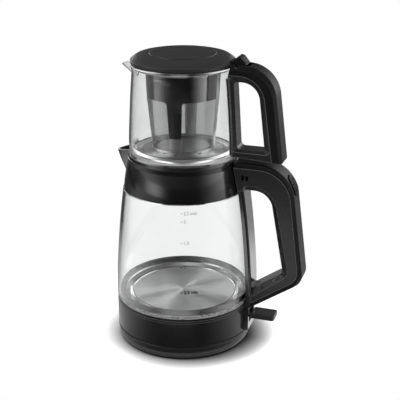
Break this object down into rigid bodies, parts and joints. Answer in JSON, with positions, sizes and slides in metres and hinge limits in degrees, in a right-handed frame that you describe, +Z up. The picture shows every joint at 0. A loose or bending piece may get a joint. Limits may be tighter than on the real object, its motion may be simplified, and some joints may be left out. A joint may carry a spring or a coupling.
{
  "type": "automatic tea maker",
  "caption": "Automatic tea maker: glass electric kettle on a round power base, topped by a glass teapot with a steel infuser and a hinged lid.",
  "frame": {"origin": "centre of the standing surface, on the vertical axis of the kettle", "axes": "+Z up, +X towards both handles, -X towards both spouts, -Y towards the litre marks"},
  "size_m": [0.2199, 0.156, 0.333],
  "materials": {
    "satin_black_plastic": "satin charcoal, fine moulded texture",
    "textured_black_plastic": "fine spark-eroded texture",
    "gloss_black_plastic": "high gloss black",
    "inner_plastic": "unpainted heat-resistant moulding",
    "black_rubber": "matt",
    "clear_silicone": "milky translucent",
    "borosilicate_glass": "clear, smooth",
    "brushed_steel_sheet": "spun and brushed",
    "polished_steel_sheet": "mirror polished",
    "steel_mesh": "fine photo-etched perforation",
    "zinc_screw": "zinc plated",
    "aluminium_plate": "as pressed",
    "contact_brass": "drawn strip"
  },
  "bodies": {
    "power_base": {"base_shell": "satin_black_plastic", "base_bottom_cover": "satin_black_plastic", "base_feet": "black_rubber", "base_screws": "zinc_screw", "cord_gland": "black_rubber", "base_connector": "satin_black_plastic", "base_contacts": "contact_brass"},
    "coupler": {"kettle_coupler": "satin_black_plastic", "coupler_contacts": "contact_brass"},
    "kettle": {"kettle_band": "gloss_black_plastic", "kettle_underside": "satin_black_plastic", "kettle_base_screws": "zinc_screw", "heating_plate": "brushed_steel_sheet", "glass_lower_seal": "clear_silicone", "heat_spreader": "aluminium_plate", "heating_element": "brushed_steel_sheet", "thermostat_control": "inner_plastic", "steam_switch": "inner_plastic", "lever_pin": "zinc_screw", "kettle_glass": "borosilicate_glass", "collar": "gloss_black_plastic", "collar_gasket": "clear_silicone", "spout_filter": "steel_mesh", "kettle_handle_spine": "gloss_black_plastic", "kettle_handle_core": "gloss_black_plastic", "kettle_handle_cheek_left": "satin_black_plastic", "kettle_handle_cheek_right": "satin_black_plastic", "kettle_handle_cover": "textured_black_plastic", "kettle_handle_screws": "zinc_screw", "button_spring": "zinc_screw"},
    "lever": {"switch_lever": "satin_black_plastic"},
    "button": {"lid_button": "textured_black_plastic"},
    "inner_lid": {"kettle_lid": "gloss_black_plastic", "kettle_lid_skirt": "gloss_black_plastic", "kettle_lid_seal": "clear_silicone", "steam_plate": "brushed_steel_sheet"},
    "teapot": {"teapot_glass": "borosilicate_glass", "teapot_handle_frame": "satin_black_plastic", "teapot_handle_shell": "textured_black_plastic", "teapot_handle_bond": "clear_silicone"},
    "infuser": {"infuser_rim": "polished_steel_sheet", "infuser_strips": "polished_steel_sheet", "infuser_foot": "polished_steel_sheet", "infuser_side_mesh": "steel_mesh", "infuser_bottom_mesh": "steel_mesh"},
    "teapot_lid": {"lid_shell": "satin_black_plastic", "lid_centre_disc": "satin_black_plastic", "lid_under_plate": "satin_black_plastic", "lid_guide_ring": "satin_black_plastic", "lid_seal": "clear_silicone", "lid_thumb_tab": "textured_black_plastic", "lid_hinge_pin": "zinc_screw"}
  },
  "joints": [
    {"name": "kettle_lift", "type": "slide", "parent": "power_base", "child": "coupler", "axis": [0, 0, 1], "range_m": [0, 0.15]},
    {"name": "kettle_swivel", "type": "hinge", "parent": "coupler", "child": "kettle", "pos_m": [0, 0, 0.02], "axis": [0, 0, 1], "continuous": true},
    {"name": "switch_lever", "type": "hinge", "parent": "kettle", "child": "lever", "pos_m": [0.0715, 0, 0.0335], "axis": [0, 1, 0], "range_deg": [0, 12]},
    {"name": "lid_release_button", "type": "slide", "parent": "kettle", "child": "button", "axis": [-0.9063, 0, -0.4226], "range_m": [0, 0.0025], "stiffness_N_per_m": 800, "springref_m": -0.001},
    {"name": "kettle_lid_lift", "type": "slide", "parent": "kettle", "child": "inner_lid", "axis": [0, 0, 1], "range_m": [0, 0.06]},
    {"name": "teapot_lift", "type": "slide", "parent": "inner_lid", "child": "teapot", "axis": [0, 0, 1], "range_m": [0, 0.12]},
    {"name": "infuser_lift", "type": "slide", "parent": "teapot", "child": "infuser", "axis": [0, 0, 1], "range_m": [0, 0.1]},
    {"name": "teapot_lid_hinge", "type": "hinge", "parent": "infuser", "child": "teapot_lid", "pos_m": [0.0628, 0, 0.3208], "axis": [0, 1, 0], "range_deg": [0, 75]}
  ]
}
